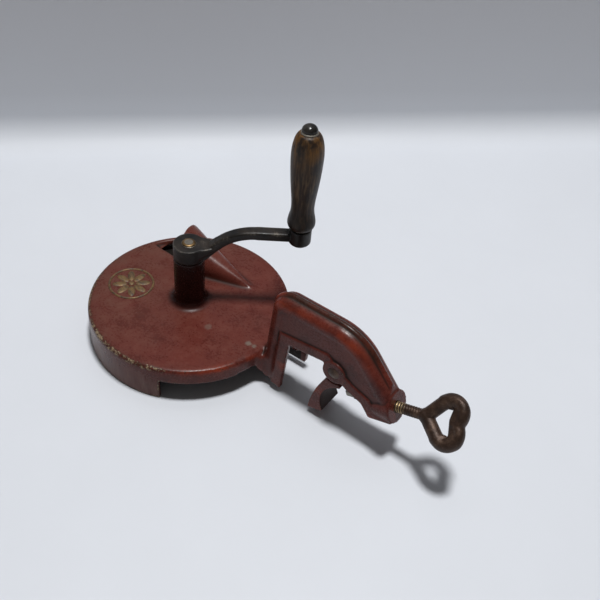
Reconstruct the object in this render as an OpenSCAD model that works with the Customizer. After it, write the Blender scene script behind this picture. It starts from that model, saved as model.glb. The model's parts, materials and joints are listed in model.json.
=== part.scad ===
// Hand-cranked bean slicer with a table clamp, lying on its skirt with the crank up.
// Millimetres. +Z is up, +X runs along the clamp frame, Y = 0 is the casting's mid-plane.
// The modules are drawn round the crank shaft's axis and moved to the part's origin by place().

/* [Housing] */
// Radius of the round housing
dish_r = 80; // [76:1:90]
// Height of the housing, from the foot of its skirt to the top of its plate
dish_h = 31.5; // [30:0.5:36]
// Thickness of the plate
plate_t = 4; // [3:0.5:5]
// Thickness of the skirt
skirt_t = 4; // [3:0.5:5]
// Radius of the rounded rim between plate and skirt
rim_round = 3; // [1:0.5:3.5]
// Width of the plain land inside the rim
rim_land = 5.5; // [5:0.5:8]
// Depth of the skirt where the slices leave
exit_skirt_h = 13; // [9:0.5:15]
// Angle at which the slice exit begins
exit_from = -65; // [-90:1:-50]
// Distance of the far seat lug from the mid-plane
lug_y = 22; // [18:0.5:26]
// Thickness of the far seat lug
lug_t = 5; // [3:0.5:7]
// Height of the lug's lower edge
lug_z = 7; // [4:0.5:10]

/* [Bearing] */
// Outer diameter of the bearing tube
tube_d = 24; // [22:0.5:30]
// Length of the tube above the plate
tube_h = 44; // [36:1:54]
// Radius of the fillet at the tube's foot
tube_fillet = 6; // [3:0.5:8]
// Depth of the bearing face below the plate
bearing_drop = 2; // [1:0.5:3]
// Radial clearance of a running fit
run_clear = 0.05; // [0.03:0.01:0.08]
// End play of a turning piece, on each side
end_clear = 0.1; // [0.05:0.05:0.3]

/* [Feed hood] */
// Distance of the hood's point from the shaft, along the frame
hood_x = 33.4; // [28:0.2:38]
// Distance of the hood's point from the shaft, across the frame
hood_y = 41.7; // [38:0.1:46]
// Turn of the hood away from the frame's direction
hood_yaw = 4; // [0:1:8]
// Rise of the hood's axis
hood_tilt = 5.5; // [3:0.5:8]
// Half angle of the hood's cone
hood_angle = 16.2; // [14:0.2:18]
// Wall of the hood
hood_wall = 3; // [2:0.25:4]
// Length of the hood, from its point to its mouth
hood_len = 72.5; // [66:0.5:78]
// Turn of the mouth's plane
mouth_yaw = 16; // [0:1:24]
// Width of the feed slot in the plate
slot_w = 20; // [16:0.5:22]
// Length of the feed slot in front of the hood's mouth
slot_lead = 21; // [16:0.5:22]
// Length of the feed slot under the hood
slot_under = 45; // [35:1:50]
// Length of the ramp that leads into the feed slot
ramp_len = 11; // [8:0.5:14]

/* [Shaft] */
// Diameter of the crank shaft
shaft_d = 12; // [10:0.5:14]
// Diameter of the shaft's lower stud, which carries the knife disc
stud_d = 10; // [8:0.5:11]
// Diameter of the shaft's upper stud, which is peened into the crank
peen_d = 9; // [7:0.5:10]
// Height of the peened head
peen_h = 1.2; // [0.8:0.2:2]
// Length of the stud below the nut
stud_out = 1.5; // [1:0.5:2.5]

/* [Crank] */
// Distance from the shaft to the grip's axis
crank_r = 83; // [78:0.2:83.6]
// Direction of the crank at rest
crank_turn = 37; // [0:1:60]
// Diameter of the crank's hub
hub_d = 24; // [22:0.5:28]
// Height of the crank's hub
hub_h = 12.5; // [10:0.5:15]
// Width of the crank's bar
bar_w = 9.5; // [8:0.5:12]
// Height of the crank's bar
bar_h = 7; // [5:0.5:9]
// Rounding of the bar's edges
bar_round = 2; // [1:0.25:2.25]
// Height of the level bar's middle above the hub's foot
crank_rise = 25; // [24.4:0.1:28]
// Slope of the bar where it leaves the hub
crank_slope = 42; // [38:1:46]
// Radius of the bend that levels the bar
bend_r = 42; // [32:1:48]
// Height of the sloping bar's middle above the hub's foot, where it leaves the hub
bar_foot = 1.25; // [0.5:0.25:3]
// Reach of the tongue that runs the hub's top out onto the bar
tongue_l = 24; // [20:0.5:28]
// Diameter of the boss that holds the grip's pin
boss_d = 17; // [15:0.5:20]
// Height of the boss
boss_h = 14.5; // [12:0.5:18]
// Height of the boss's foot below the bar's middle
boss_drop = 6.8; // [5:0.2:9]

/* [Grip] */
// Length of the wooden grip
grip_l = 80; // [70:1:100]
// Largest diameter of the grip
grip_d = 23; // [20:0.2:28]
// Diameter of the grip's waist
waist_d = 17; // [15:0.2:20]
// Diameter of the grip's lower bead
bead_d = 20.6; // [18:0.2:24]
// Diameter of the pin that the grip turns on
pin_d = 7; // [6:0.5:8]
// Thickness of the washer below the grip
low_washer_t = 1; // [0.8:0.1:1.6]
// Diameter of the washer below the grip
low_washer_d = 14.6; // [12:0.2:16]
// Thickness of the washer on top of the grip
top_washer_t = 1.2; // [0.8:0.1:1.6]
// Diameter of the washer on top of the grip
top_washer_d = 12.6; // [12:0.2:15]
// Diameter of the domed cap
cap_d = 11.2; // [9.5:0.2:12]
// Height of the domed cap
cap_h = 5.2; // [4.6:0.2:5.6]

/* [Knife disc] */
// Gap between the knife disc and the skirt
disc_gap = 4; // [3:0.5:6]
// Thickness of the knife disc
disc_t = 3; // [2:0.25:3.5]
// Diameter of the disc's hub
disc_hub_d = 26; // [22:0.5:32]
// Height of the disc's hub below the disc
disc_hub_h = 5; // [4:0.5:6]
// Number of knives
knives = 3; // [3:1:3]
// Width of the slot in front of each knife
gate_w = 9; // [7:0.5:11]
// Width of the disc's rim beyond the slots
gate_rim = 8; // [6:0.5:16]
// Distance from the shaft to the slots
gate_from = 22; // [20:0.5:24]
// Width of a knife
knife_w = 17; // [15:0.5:19]
// Thickness of a knife
knife_t = 1.5; // [1:0.1:1.8]
// How far a knife's edge reaches over its slot
knife_reach = 4; // [3:0.5:5]
// Diameter of the knives' screws
knife_screw_d = 4; // [3:0.5:5]
// Thickness of the thrust washer
thrust_t = 1.5; // [1:0.25:2]
// Diameter of the washers on the shaft
shaft_washer_d = 22; // [20:0.5:24]
// Thickness of the washer under the nut
nut_washer_t = 2; // [1:0.25:2.5]
// Width of the nut across its flats
nut_af = 17; // [15:0.5:19]
// Thickness of the nut
nut_t = 7.5; // [6:0.5:8]

/* [Clamp frame] */
// Distance from the shaft to the foot of the table seat
seat_x = 99.4; // [96:0.2:104]
// Height of the seat's foot above the ground
seat_z = 4.5; // [3:0.5:6]
// Length of the table seat
seat_l = 51; // [46:0.5:55]
// Lean of the table seat
seat_lean = 5.3; // [3:0.1:7]
// Reach of the clamp's throat, from the seat to the jaw's pivot
throat = 40.5; // [36:0.5:46]
// Height of the frame's top rail above its underside
rail_h = 38; // [35:0.5:42]
// Width of the frame's rise, from the seat to its back
rise_w = 21.5; // [20:0.5:23]
// Height of the rise's lower edge where it leaves the housing
foot_z = 9; // [7:0.5:12]
// Radius of the bend from the rise into the top rail
back_r = 15; // [12:0.5:18]
// Radius of the bend from the top rail down to the screw
fall_r = 42; // [36:1:48]
// Angle of the slope down to the screw
fall_angle = 49; // [44:1:52]
// Depth of the rounded rail that forms the frame's back
back_t = 8; // [7.5:0.5:9]
// Thickness of the back over the frame's hollow
hollow_t = 6.5; // [5.5:0.25:7]
// Distance from the throat's corner down to the end of the far wall
far_wall_drop = 20.5; // [10:0.5:22]
// Width of the frame across its back
web_w = 19; // [18:0.5:20]
// Depth of the panels sunk in the frame's sides
panel_drop = 0.3; // [0.2:0.1:0.5]
// Width of the lip round the throat
lip_w = 21; // [20.5:0.5:22]
// Height of the lip round the throat
lip_h = 9; // [6:0.5:11]
// Rounding of the frame's shoulders
shoulder = 7; // [4:0.5:7.5]
// Width of the bead along the frame's back
rib_w = 5; // [3:0.5:6]
// Height of the bead along the frame's back
rib_h = 2; // [1:0.25:2.5]
// Radius of the fillets at the frame's root
root_fillet = 18; // [15:0.5:20]
// How deep the fillets bite into the rim and the sides, so that they meet them at an angle
root_bite = 1.8; // [1.6:0.1:2.2]

/* [Clamp screw] */
// Diameter of the clamp screw
screw_d = 8; // [7:0.5:10]
// Tilt of the clamp screw
screw_tilt = 18.6; // [15:0.2:22]
// Distance of the screw's axis below the jaw's pivot
screw_below = 25.6; // [24:0.2:27]
// Distance from the pivot to the face that the screw leaves by, along the frame
screw_exit = 48; // [46:0.5:50]
// Diameter of the boss round the screw
screw_boss_d = 25; // [22:0.5:28]
// Diameter of the boss at its root
screw_boss_root = 20; // [19.6:0.1:20.4]
// Length of the boss round the screw
screw_boss_l = 20; // [16:0.5:22]
// Length of screw that shows between the boss and the heart
screw_out = 23; // [22:0.5:28]
// Length of screw from the boss's face to the point
screw_in = 43; // [41:0.5:45]
// Length of the screw's plain point
point_l = 8; // [6:0.5:10]
// Diameter of the screw's plain point
point_d = 6.4; // [5:0.2:7]
// Diameter of the heart's rod
heart_rod_d = 10; // [8:0.5:11]
// Width of the heart
heart_w = 40.5; // [38:0.5:44]
// Length of the heart
heart_l = 30.5; // [29:0.5:34]
// How far the heart's lobes run past its axis, where they are welded
heart_cusp = 1.2; // [0.8:0.1:2]
// Height of the weld beads over the heart's rod
heart_bead = 0.3; // [0.2:0.1:0.6]
// Turn of the heart's plane round the screw at rest
heart_roll = 50; // [0:1:90]

/* [Jaw] */
// Width of the jaw's shoe
jaw_w = 22; // [18:0.5:24]
// Width of the jaw's neck, between the frame's cheeks
neck_w = 11; // [9:0.5:11.5]
// Clearance of the neck between the cheeks, on each side
neck_clear = 0.4; // [0.3:0.1:0.8]
// Height of the jaw below its pivot
jaw_l = 50; // [46:0.5:51]
// Distance from the pivot to the jaw's foot, toward the seat
jaw_reach = 18; // [16:0.5:20]
// Thickness of the jaw at its foot
jaw_t = 11.5; // [9:0.5:13]
// Radius of the shoe's face
shoe_r = 99; // [80:1:120]
// Radius of the hollow in the jaw's back
hollow_r = 22.5; // [20:0.5:24]
// Diameter of the jaw's pin
jaw_pin_d = 8; // [6:0.5:9]
// Diameter of the bosses round the jaw's pin
cheek_d = 19; // [17:0.5:21]
// Width of the frame over the bosses round the jaw's pin
cheek_w = 22.5; // [22:0.5:24]
// Diameter of the heads of the jaw's pin
jaw_pin_head_d = 11; // [9.5:0.5:13]
// Height of the heads of the jaw's pin
jaw_pin_head_h = 1.5; // [1:0.25:3]

/* [Hidden] */
$fn = 64;
eps = 0.01;
big = 400;
cast_red = [0.42, 0.16, 0.13];
black_iron = [0.16, 0.15, 0.15];
steel = [0.62, 0.61, 0.58];
rusty = [0.36, 0.26, 0.18];
wood = [0.34, 0.22, 0.13];

// Heights along the shaft
plate_z = dish_h - plate_t;
tube_top = dish_h + tube_h;
bearing_z = plate_z - bearing_drop;
disc_top = bearing_z - end_clear - thrust_t;
disc_hub_z = disc_top - disc_t - disc_hub_h;
nut_washer_z = disc_hub_z - nut_washer_t;
nut_z = nut_washer_z - nut_t;
stud_z = nut_z - stud_out;
disc_r = dish_r - skirt_t - disc_gap;
gate_l = disc_r - gate_rim - gate_from;
hub_z = tube_top + end_clear;
hub_top = hub_z + hub_h;
bar_z = hub_z + crank_rise;
boss_z = bar_z - boss_drop;
boss_top = boss_z + boss_h;
grip_z = boss_top + low_washer_t + end_clear;
grip_top = grip_z + grip_l;
top_washer_z = grip_top + end_clear;
cap_z = top_washer_z + top_washer_t;

// Places along the clamp frame
lean = tan(seat_lean);
corner = [seat_x + seat_l * lean, seat_z + seat_l];
pivot = [corner[0] + throat, corner[1]];
exit_x = pivot[0] + screw_exit;
exit_z = pivot[1] - screw_below + screw_exit * tan(screw_tilt);
heart_x = exit_x + screw_out * cos(screw_tilt);
heart_z = exit_z + screw_out * sin(screw_tilt);
exit_to = asin(lug_y / dish_r);

// The heart: two lobes that meet on its axis, with straight legs from its root
rod_r = heart_rod_d / 2;
lobe_r = (heart_w / 2 - rod_r + heart_cusp) / 2;
lobe_c = lobe_r - heart_cusp;
lobe_a = heart_l - rod_r - lobe_r;
leg_l = sqrt(lobe_c * lobe_c + lobe_a * lobe_a - lobe_r * lobe_r);
leg_angle = atan(lobe_c / lobe_a) + atan(lobe_r / leg_l);
heart_lean_x = sin(screw_tilt) * sin(heart_roll);
lobe_x = heart_x + lobe_a * cos(screw_tilt);
lobe_reach = lobe_r * sqrt(1 - pow(sin(screw_tilt) * cos(heart_roll), 2));
frame_end = lobe_x + lobe_c * abs(heart_lean_x) + lobe_reach + rod_r;
shaft_x = (dish_r - frame_end) / 2;

module place() { translate([shaft_x, 0, 0]) children(); }
module at_crank() { place() rotate([0, 0, crank_turn]) children(); }
module at_grip() { at_crank() translate([crank_r, 0, 0]) children(); }
module at_pivot() { place() translate([pivot[0], 0, pivot[1]]) rotate([90, 0, 0]) children(); }
// Along the screw: +Z points outward, and X lies in the heart's plane
module at_screw() {
    place() translate([exit_x, 0, exit_z]) rotate([0, 90 - screw_tilt, 0])
        rotate([0, 0, 90 + heart_roll]) children();
}

// A smooth curve through points: Catmull-Rom between points i and i + 1
function smooth(p, i, t) =
    let (a = p[max(i - 1, 0)], b = p[i], c = p[i + 1], d = p[min(i + 2, len(p) - 1)])
    0.5 * (2 * b + t * (c - a) + t * t * (2 * a - 5 * b + 4 * c - d) + t * t * t * (3 * b - a - 3 * c + d));
function curve(p, steps) =
    [for (i = [0:len(p) - 2], k = [0:steps - 1]) smooth(p, i, k / steps), p[len(p) - 1]];

// A ring between two radii
module ring(z, h, outer, inner) {
    translate([0, 0, z]) difference() {
        cylinder(h = h, r = outer);
        translate([0, 0, -1]) cylinder(h = h + 2, r = inner);
    }
}

// The housing's plate, skirt and bearing tube in half section
module housing_section() {
    tube_r = tube_d / 2;
    difference() {
        union() {
            translate([0, plate_z]) square([dish_r - rim_round, plate_t]);
            translate([dish_r - skirt_t, 0]) square([skirt_t, dish_h - rim_round]);
            translate([dish_r - rim_round, dish_h - rim_round]) circle(rim_round);
            translate([0, bearing_z]) square([tube_r, tube_top - bearing_z]);
            translate([0, dish_h - eps]) square([tube_r + tube_fillet, tube_fillet + eps]);
        }
        translate([tube_r + tube_fillet, dish_h + tube_fillet]) circle(tube_fillet);
        translate([-1, bearing_z - 1]) square([shaft_d / 2 + run_clear + 1, tube_top - bearing_z + 2]);
    }
}

// The hood's cone, grown by a wall's thickness, from its point to beyond its mouth
module hood_cone(grow) {
    reach = hood_len * 1.4;
    back = grow / sin(hood_angle);
    translate([hood_x, hood_y, dish_h]) rotate([0, 0, 180 + hood_yaw]) rotate([0, 90 - hood_tilt, 0])
        translate([0, 0, -back]) cylinder(h = reach + back, r1 = 0, r2 = (reach + back) * tan(hood_angle));
}

mouth_x = hood_x - hood_len;
slot_y = hood_y - 1;

module hood_shell() {
    difference() {
        hood_cone(0);
        hood_cone(-hood_wall);
        translate([-big, -big, dish_h - plate_t / 2 - big]) cube([2 * big, 2 * big, big]);
        translate([mouth_x, hood_y, 0]) rotate([0, 0, mouth_yaw])
            translate([-big, -big / 2, -big / 2]) cube(big);
    }
}

// The slot that the beans slide through, with its ramp, kept inside the rim
module feed_slot() {
    slot_x = mouth_x - slot_lead;
    ramp_top = dish_h + 1;
    intersection() {
        union() {
            translate([slot_x, slot_y - slot_w / 2, plate_z - 1])
                cube([slot_lead + slot_under, slot_w, plate_t + 1]);
            translate([0, slot_y, 0]) side_view(slot_w)
                polygon([[slot_x + 1, plate_z], [slot_x + 1, ramp_top],
                    [slot_x - ramp_len * (1 + 1 / plate_t), ramp_top], [slot_x, plate_z]]);
        }
        cylinder(h = big, r = dish_r - rim_land, $fn = 128);
    }
}

module housing() {
    color(cast_red) place() difference() {
        union() {
            difference() {
                rotate_extrude($fn = 128) housing_section();
                translate([0, 0, -1]) rotate([0, 0, exit_from]) rotate_extrude(angle = exit_to - exit_from)
                    translate([dish_r - skirt_t - 1, 0]) square([skirt_t + 2, dish_h - exit_skirt_h + 1]);
            }
            hood_shell();
            seat_lug();
        }
        feed_slot();
    }
}

// The far leg of the table seat, running out from the skirt to the plane of the seat
module seat_lug() {
    lug_top = dish_h - rim_round;
    difference() {
        translate([0, lug_y + lug_t, 0]) rotate([90, 0, 0]) linear_extrude(lug_t)
            polygon([[0, lug_z], [seat_x + (lug_z - seat_z) * lean, lug_z],
                [seat_x + (lug_top - seat_z) * lean, lug_top], [0, lug_top]]);
        translate([0, 0, -1]) cylinder(h = big, r = dish_r - skirt_t);
    }
}

// Unit vectors along and to the left of a direction
function unit(v) = v / norm(v);
function left(v) = [-v[1], v[0]];
// A path moved to its left by d, with mitred corners
function beside(p, d) = [for (i = [0:len(p) - 1])
    let (j = max(i, 1), k = min(i + 1, len(p) - 1))
    let (a = left(unit(p[j] - p[j - 1])), b = left(unit(p[k] - p[k - 1])), m = unit(a + b))
    p[i] + m * d / (m * b)];
function reverse(p) = [for (i = [len(p) - 1:-1:0]) p[i]];

// The frame in side view, as [x, z]: the back climbs the rise, bends over the top and falls to the screw
climb = [sin(seat_lean), cos(seat_lean)];
rail_z = corner[1] + rail_h;
rise_foot = [seat_x, seat_z] + left(climb) * rise_w;
climb_l = (rail_z - back_r - rise_foot[1] + back_r * climb[0]) / climb[1];
bend_1 = rise_foot + climb * climb_l - left(climb) * back_r;
bend_2 = [pivot[0] - cheek_d / 3, rail_z - fall_r];
fall_at = bend_2 + fall_r * [sin(fall_angle), cos(fall_angle)];
fall = [cos(fall_angle), -sin(fall_angle)];
along = [cos(screw_tilt), sin(screw_tilt)];
boss_end = [exit_x, exit_z] - along * screw_boss_l;
// Distance from the screw's axis down to the walls' edge, just inside the boss
boss_foot = left(along) * screw_boss_root * 0.46;

// The edge round the throat, from below the seat's foot, over the jaw, to the screw's boss
over_jaw = [[-9.7, 4], [2.5, -5], [11.5, -10.7], [24.5, -15.2]];
inner_edge = concat([[seat_x, seat_z] - climb * lip_h, corner], [for (p = over_jaw) pivot + p],
    [boss_end - boss_foot, [exit_x, exit_z] - boss_foot]);

// The back's path moved inward by a distance, in short straight steps
function back_path(d) = concat([rise_foot - left(climb) * d],
    [for (t = [0:15:90]) bend_1 + (back_r - d) * [-cos(t), sin(t)]],
    [for (t = [0:fall_angle / 4:fall_angle]) bend_2 + (fall_r - d) * [sin(t), cos(t)]],
    [fall_at + fall * screw_exit - left(fall) * d]);

module side_view(width) { rotate([90, 0, 0]) translate([0, 0, -width / 2]) linear_extrude(width) children(); }

// The rounded section of the frame's back, with its bead: X outward, Y across
module back_section() {
    web = web_w / 2;
    translate([-back_t, -web]) square([back_t - shoulder, web_w]);
    translate([-back_t, shoulder - web]) square([back_t, web_w - 2 * shoulder]);
    for (side = [-1, 1]) translate([-shoulder, side * (web - shoulder)]) circle(shoulder);
    translate([rib_h - rib_w / 2, 0]) circle(d = rib_w);
}

// The back, swept along its path
module frame_back() {
    translate([rise_foot[0], 0, rise_foot[1]]) rotate([0, seat_lean, 0]) rotate([0, 0, 180])
        linear_extrude(climb_l) back_section();
    translate([bend_1[0], 0, bend_1[1]]) rotate([90, 0, 0]) rotate([0, 0, 90])
        rotate_extrude(angle = 90 - seat_lean) translate([back_r, 0]) back_section();
    translate([bend_1[0], 0, rail_z]) rotate([0, 90, 0]) rotate([0, 0, 180])
        linear_extrude(bend_2[0] - bend_1[0]) back_section();
    translate([bend_2[0], 0, bend_2[1]]) rotate([90, 0, 0]) rotate([0, 0, 90 - fall_angle])
        rotate_extrude(angle = fall_angle) translate([fall_r, 0]) back_section();
    translate([fall_at[0], 0, fall_at[1]]) rotate([0, 90 + fall_angle, 0]) rotate([0, 0, 180])
        linear_extrude(screw_exit) back_section();
}

// The two side walls with the lip round the throat
module frame_walls() {
    side_view(web_w - 2 * panel_drop) polygon(concat(inner_edge, reverse(back_path(shoulder - 1))));
    side_view(lip_w) polygon(concat(inner_edge, reverse(beside(inner_edge, lip_h))));
}

// The hollow between the walls, open to the throat, and the gap where the far wall stops short
module frame_hollow() {
    slot = neck_w + 2 * neck_clear;
    far_z = corner[1] - far_wall_drop;
    side_view(slot) difference() {
        polygon(concat([[rise_foot[0] + hollow_t, -1]], back_path(hollow_t), [[exit_x, -1]]));
        translate(boss_end - along) rotate(screw_tilt) translate([0, -big / 2]) square(big);
    }
    translate([0, big / 2 - slot / 2, 0]) side_view(big)
        polygon([[rise_foot[0] + hollow_t, -1],
            rise_foot + climb * (far_z - rise_foot[1]) - left(climb) * hollow_t,
            [pivot[0], far_z], [pivot[0], -1]]);
}

// Fillets that run the frame's sides into the housing's rim
fillet_y = web_w / 2 - root_bite + root_fillet;
fillet_r = dish_r - root_bite;
fillet_x = sqrt(pow(fillet_r + root_fillet, 2) - fillet_y * fillet_y);
fillet_at = [fillet_x, fillet_y] * fillet_r / (fillet_r + root_fillet);

root_lap = 1;

module root_fillets() {
    for (side = [0, 1]) mirror([0, side, 0])
        translate([0, 0, seat_z]) linear_extrude(dish_h - rim_round - seat_z) difference() {
            polygon([fillet_at - [skirt_t, skirt_t], [fillet_at[0] - skirt_t, -root_lap], [fillet_x, -root_lap],
                [fillet_x, fillet_y], fillet_at]);
            translate([fillet_x, fillet_y]) circle(root_fillet);
        }
}

// The space below the foot: level under the skirt, then down to the foot of the seat
module below_foot() {
    exit_level = dish_h - exit_skirt_h;
    bend = [dish_r + skirt_t, foot_z];
    toe = [seat_x, seat_z];
    side_view(big) polygon([[0, -big], [0, exit_level], [fillet_at[0], exit_level], bend, toe,
        2 * toe - bend, [pivot[0], -big]]);
}

module clamp_frame() {
    color(cast_red) difference() {
        union() {
            difference() {
                place() union() {
                    frame_back();
                    frame_walls();
                    root_fillets();
                }
                place() frame_hollow();
                at_screw() translate([-big / 2, -big / 2, -1]) cube(big);
                place() below_foot();
            }
            at_pivot() difference() {
                translate([0, 0, -cheek_w / 2]) cylinder(h = cheek_w, d = cheek_d);
                translate([0, 0, -neck_w / 2 - neck_clear])
                    cylinder(h = neck_w + 2 * neck_clear, d = cheek_d + 1);
            }
            at_screw() translate([0, 0, -screw_boss_l])
                cylinder(h = screw_boss_l, d1 = screw_boss_root, d2 = screw_boss_d);
        }
        place() translate([0, 0, -1]) cylinder(h = dish_h + 1, r = dish_r, $fn = 128);
        at_pivot() translate([0, 0, -cheek_w]) cylinder(h = 2 * cheek_w, d = jaw_pin_d + 2 * run_clear);
        at_screw() translate([0, 0, -screw_in]) cylinder(h = screw_in + 1, d = screw_d + 2 * run_clear);
    }
}

module drive_shaft() {
    color(steel) place() {
        translate([0, 0, stud_z]) cylinder(h = disc_top - stud_z, d = stud_d);
        translate([0, 0, disc_top - eps]) cylinder(h = hub_z - disc_top + eps, d = shaft_d);
        translate([0, 0, hub_z - eps]) cylinder(h = hub_h + eps, d = peen_d);
        translate([0, 0, hub_top]) cylinder(h = peen_h, d1 = peen_d + 2, d2 = peen_d - 2);
    }
}

module thrust_washer() {
    color(steel) place() ring(disc_top, thrust_t, shaft_washer_d / 2, shaft_d / 2 + run_clear);
}

module disc_washer() {
    color(steel) place() ring(nut_washer_z, nut_washer_t, shaft_washer_d / 2, stud_d / 2 + run_clear);
}

module disc_nut() {
    color(steel) place() translate([0, 0, nut_z]) difference() {
        cylinder(h = nut_t, d = nut_af / cos(30), $fn = 6);
        translate([0, 0, -1]) cylinder(h = nut_t + 2, d = stud_d + 2 * run_clear);
    }
}

// Repeats a knife's place round the disc
module at_knife(i) { place() rotate([0, 0, i * 360 / knives]) children(); }
// Places of the two screws of a knife
knife_screws_x = [gate_from + gate_l * 0.2, gate_from + gate_l * 0.8];
knife_screw_y = (knife_reach - knife_w) * 0.55;

module knife_disc() {
    color(steel) difference() {
        place() union() {
            translate([0, 0, disc_top - disc_t]) cylinder(h = disc_t, r = disc_r, $fn = 128);
            translate([0, 0, disc_hub_z]) cylinder(h = disc_hub_h + eps, d = disc_hub_d);
        }
        place() translate([0, 0, disc_hub_z - 1]) cylinder(h = disc_top, d = stud_d + 2 * run_clear);
        for (i = [0:knives - 1]) at_knife(i) {
            translate([gate_from, 0, disc_top - disc_t - 1]) cube([gate_l, gate_w, disc_t + 2]);
            for (x = knife_screws_x) translate([x, knife_screw_y, disc_top - disc_t - 1])
                cylinder(h = disc_t + 2, d = knife_screw_d + 2 * run_clear);
        }
    }
}

// A knife lies on the disc, with its ground edge over its slot
module knife(i) {
    past_gate = 2;
    bevel = 3 * knife_t;
    heel = knife_reach - knife_w;
    color(steel) at_knife(i) difference() {
        translate([gate_from - past_gate, 0, disc_top]) rotate([90, 0, 90])
            linear_extrude(gate_l + 2 * past_gate)
            polygon([[heel, 0], [knife_reach, 0], [knife_reach - bevel, knife_t], [heel, knife_t]]);
        for (x = knife_screws_x) translate([x, knife_screw_y, disc_top - 1])
            cylinder(h = knife_t + 2, d = knife_screw_d + 2 * run_clear);
    }
}
module knife_1() { knife(0); }
module knife_2() { knife(1); }
module knife_3() { knife(2); }

module knife_screws() {
    grip_h = disc_t + knife_t;
    head_h = (plate_z - disc_top - knife_t) / 2;
    head_d = knife_screw_d * 1.6;
    color(steel) for (i = [0:knives - 1], x = knife_screws_x)
        at_knife(i) translate([x, knife_screw_y, disc_top - disc_t]) {
            cylinder(h = grip_h + eps, d = knife_screw_d);
            translate([0, 0, grip_h]) cylinder(h = head_h, d = head_d);
        }
}

// The bar's rounded section, grown by a little: X across its height, Y across its width
module bar_section(grow) {
    h = bar_h + 2 * grow;
    w = bar_w + 2 * grow;
    r = bar_round + grow;
    square([h, w - 2 * r], center = true);
    square([h - 2 * r, w], center = true);
    for (sx = [-1, 1], sy = [-1, 1]) translate([sx * (h / 2 - r), sy * (w / 2 - r)]) circle(r);
}

// The bar leaves the hub on a slope, bends level and runs out to the boss. The bend's ends run a few
// degrees into the straight pieces, which are thicker by a small step
bend_lap = 3;
bend_step = 0.2;
bend_rise = bend_r * (1 - cos(crank_slope));
slope_x = hub_d / 3 + (crank_rise - bend_rise - bar_foot) / tan(crank_slope);
slope_z = bar_z - bend_rise;
slope_l = (slope_x - hub_d / 3) / cos(crank_slope);
bend_x = slope_x + bend_r * sin(crank_slope);

// The sloping bar, and the web that spreads it to the hub, cut level a little above the hub's foot
module crank_slant() {
    inset = bar_round / 4;
    end = bar_w / 2 - inset;
    root = hub_d / 3;
    difference() {
        translate([slope_x, 0, slope_z]) rotate([0, 90 - crank_slope, 0]) {
            translate([0, 0, -slope_l]) linear_extrude(slope_l) bar_section(bend_step);
            translate([inset - bar_h / 2, 0, 0]) rotate([90, 0, 90]) linear_extrude(bar_h - 2 * inset)
                polygon([[-root, -slope_l], [root, -slope_l], [end, -bar_round], [-end, -bar_round]]);
        }
        translate([-big / 2, -big / 2, hub_z + bar_round - big]) cube(big);
    }
}

// The hub's top runs out onto the bar in a tongue, as wide as the hub at first and then as the bar. It lies
// between the hub's top and the slope of the bar's underside
module crank_tongue() {
    inside = bar_round / 4;
    top = hub_top - inside / 2;
    foot = hub_z + 2 * bar_round;
    end = bar_w / 2 - inside;
    under = slope_z - (slope_x - tongue_l) * tan(crank_slope) - bar_h / 2 * cos(crank_slope);
    intersection() {
        translate([0, 0, foot]) linear_extrude(top - foot)
            polygon([[0, hub_d / 2 - inside], [tongue_l, end], [tongue_l, -end], [0, inside - hub_d / 2]]);
        side_view(2 * hub_d) polygon([[-hub_d, foot - 1], [hub_d / 3, foot - 1], [tongue_l + 1, under],
            [tongue_l + 1, hub_top + 1], [-hub_d, hub_top + 1]]);
    }
}

module crank_arm() {
    chamfer = boss_d / 8;
    color(black_iron) at_crank() difference() {
        union() {
            translate([0, 0, hub_z]) cylinder(h = hub_h, d = hub_d);
            translate([bend_x, 0, bar_z]) rotate([0, 90, 0])
                linear_extrude(crank_r - bend_x) bar_section(bend_step);
            translate([bend_x, 0, bar_z - bend_r]) rotate([90, 0, 0]) rotate([0, 0, 90 - bend_lap])
                rotate_extrude(angle = crank_slope + 2 * bend_lap) translate([bend_r, 0]) bar_section(0);
            crank_slant();
            crank_tongue();
            translate([crank_r, 0, boss_z]) rotate_extrude() polygon([[0, 0], [boss_d / 2 - chamfer, 0],
                [boss_d / 2, chamfer], [boss_d / 2, boss_h], [0, boss_h]]);
        }
        translate([0, 0, hub_z - 1]) cylinder(h = hub_h + 2, d = peen_d + 2 * run_clear);
        translate([crank_r, 0, boss_z - 1]) cylinder(h = boss_h + 2, d = pin_d + 2 * run_clear);
    }
}

module grip_pin() {
    rivet_h = 1;
    color(steel) at_grip() {
        translate([0, 0, boss_z - rivet_h]) cylinder(h = rivet_h + eps, d1 = pin_d, d2 = pin_d + 2 * rivet_h);
        translate([0, 0, boss_z]) cylinder(h = cap_z + cap_h / 2 - boss_z, d = pin_d);
    }
}

module grip_washer() {
    color(steel) at_grip() ring(boss_top, low_washer_t, low_washer_d / 2, pin_d / 2 + run_clear);
}

module grip_top_washer() {
    color(steel) at_grip() ring(top_washer_z, top_washer_t, top_washer_d / 2, pin_d / 2 + run_clear);
}

// The grip's radius along its length, from the lower washer to the upper one
grip_profile = [[0, low_washer_d / 2], [0.06, bead_d / 2], [0.2, waist_d / 2], [0.4, grip_d * 0.43],
    [0.62, grip_d * 0.495], [0.8, grip_d / 2], [0.93, grip_d * 0.41], [1, top_washer_d / 2]];

module grip() {
    color(wood) at_grip() translate([0, 0, grip_z]) rotate_extrude() difference() {
        polygon(concat([[0, 0]], [for (p = curve(grip_profile, 4)) [p[1], p[0] * grip_l]], [[0, grip_l]]));
        translate([-1, -1]) square([pin_d / 2 + run_clear + 1, grip_l + 2]);
    }
}

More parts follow.
